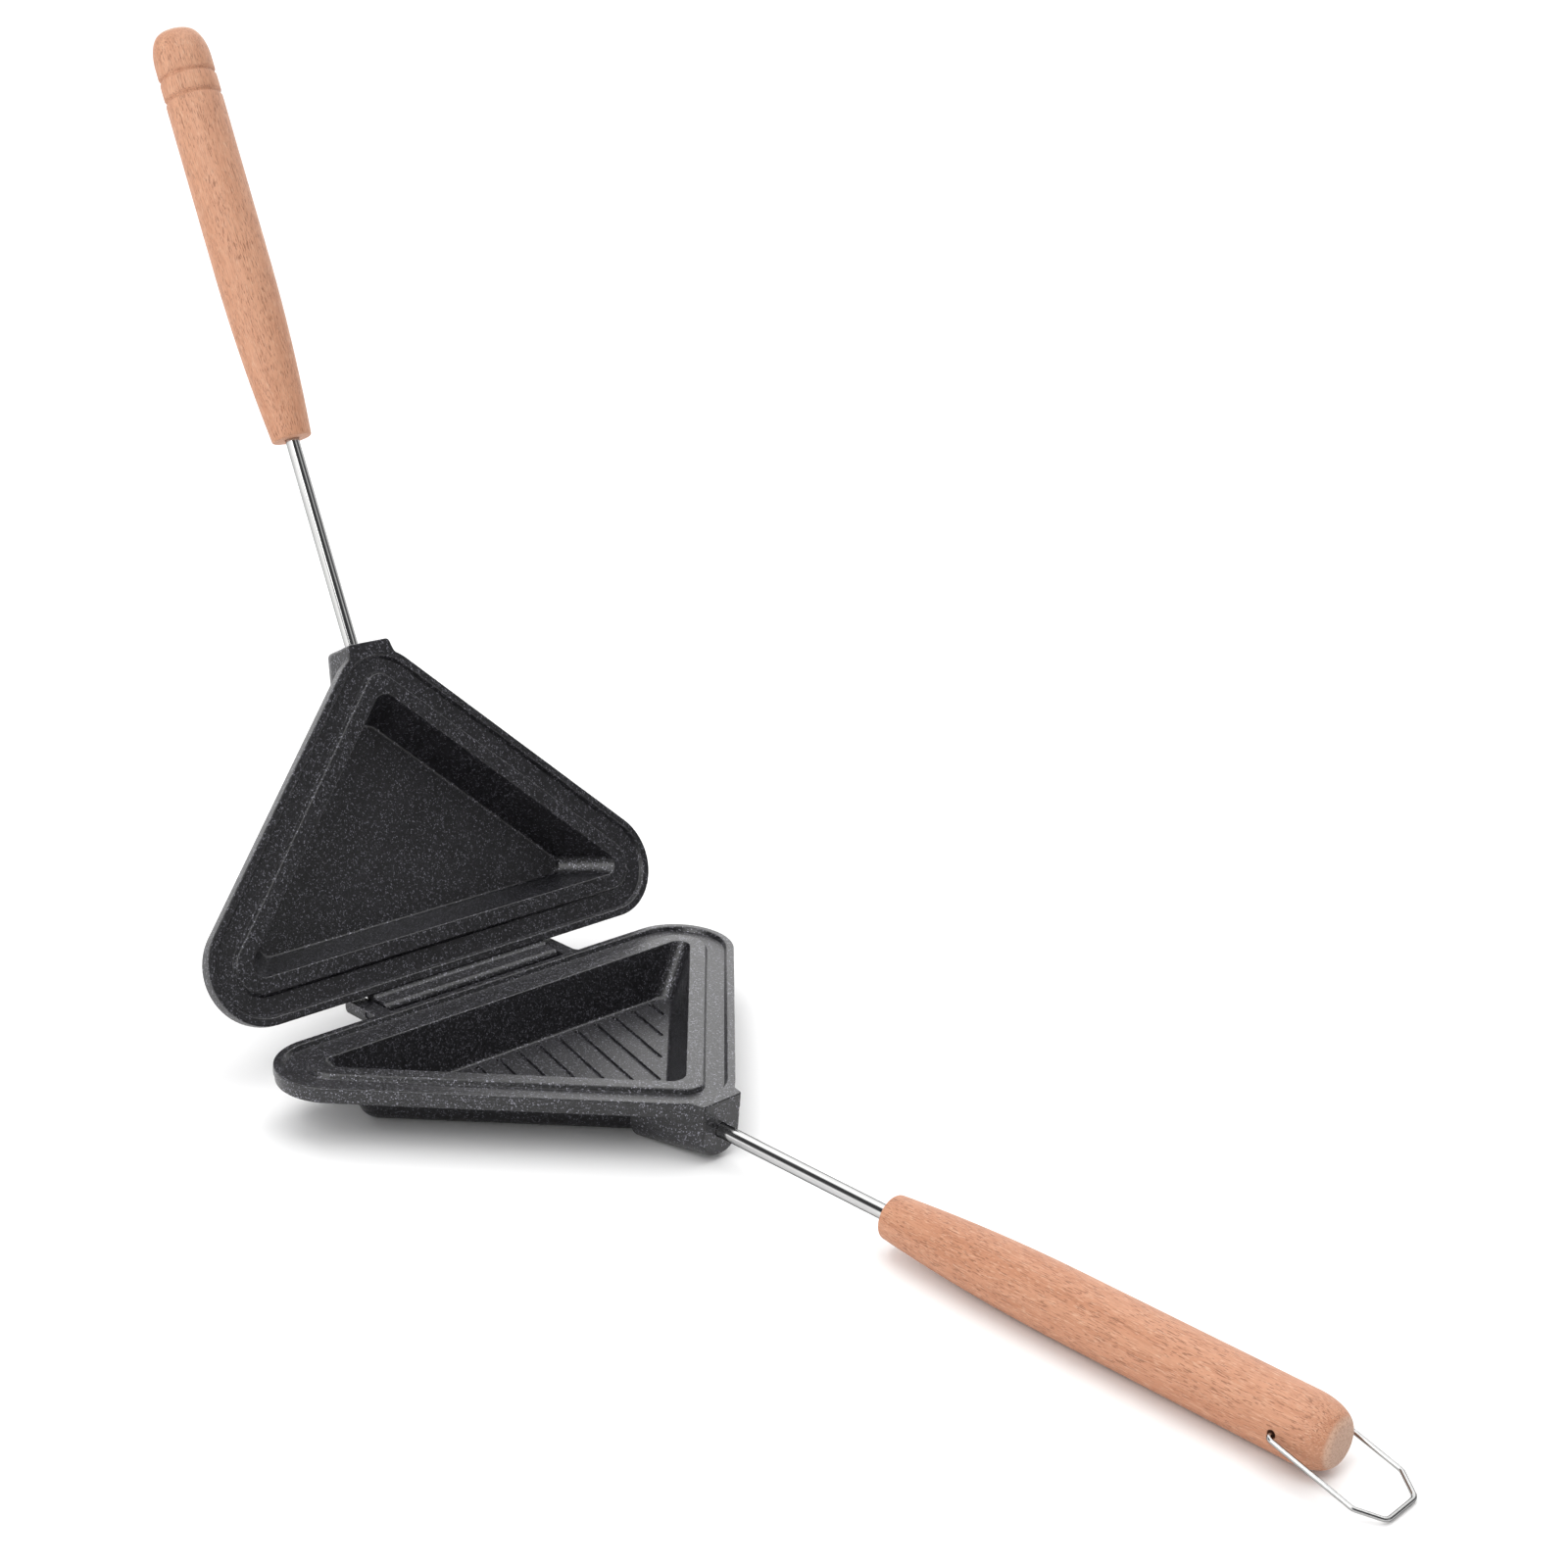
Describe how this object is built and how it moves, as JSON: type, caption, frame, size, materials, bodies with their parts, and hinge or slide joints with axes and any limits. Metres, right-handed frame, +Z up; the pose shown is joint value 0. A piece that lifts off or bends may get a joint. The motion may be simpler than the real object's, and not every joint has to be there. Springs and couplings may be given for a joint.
{
  "type": "double-sided sandwich pan",
  "caption": "Hinged pair of three-cornered sandwich dies on long wooden handles, shown open, with a wire loop on one grip that locks over the other.",
  "frame": {"origin": "middle of the lower die's flat base, where the pan stands", "axes": "+X from the hinge towards the lower handle's end, +Y along the hinge, +Z up, square to the base"},
  "size_m": [0.5724, 0.2012, 0.3421],
  "materials": {
    "coated_die": "matt dark non-stick coating with fine pale speckles",
    "polished_steel": "bright drawn rod",
    "wire": "bright drawn wire",
    "beech": "smooth turned beech, thinly oiled"
  },
  "bodies": {
    "lower_pan": {"lower_die": "coated_die", "hinge_pin": "polished_steel", "lower_rod": "polished_steel", "lower_grip": "beech"},
    "upper_pan": {"upper_die": "coated_die", "upper_rod": "polished_steel", "upper_grip": "beech"},
    "loop": {"lock_loop": "wire"}
  },
  "joints": [
    {"name": "pan_hinge", "type": "hinge", "parent": "lower_pan", "child": "upper_pan", "pos_m": [-0.06005, 0, 0.0192], "axis": [0, 1, 0], "range_deg": [0, 117.2]},
    {"name": "loop_pivot", "type": "hinge", "parent": "lower_pan", "child": "loop", "pos_m": [0.29004, 0, 0.0108], "axis": [0, -1, 0], "range_deg": [-140, 118]}
  ]
}
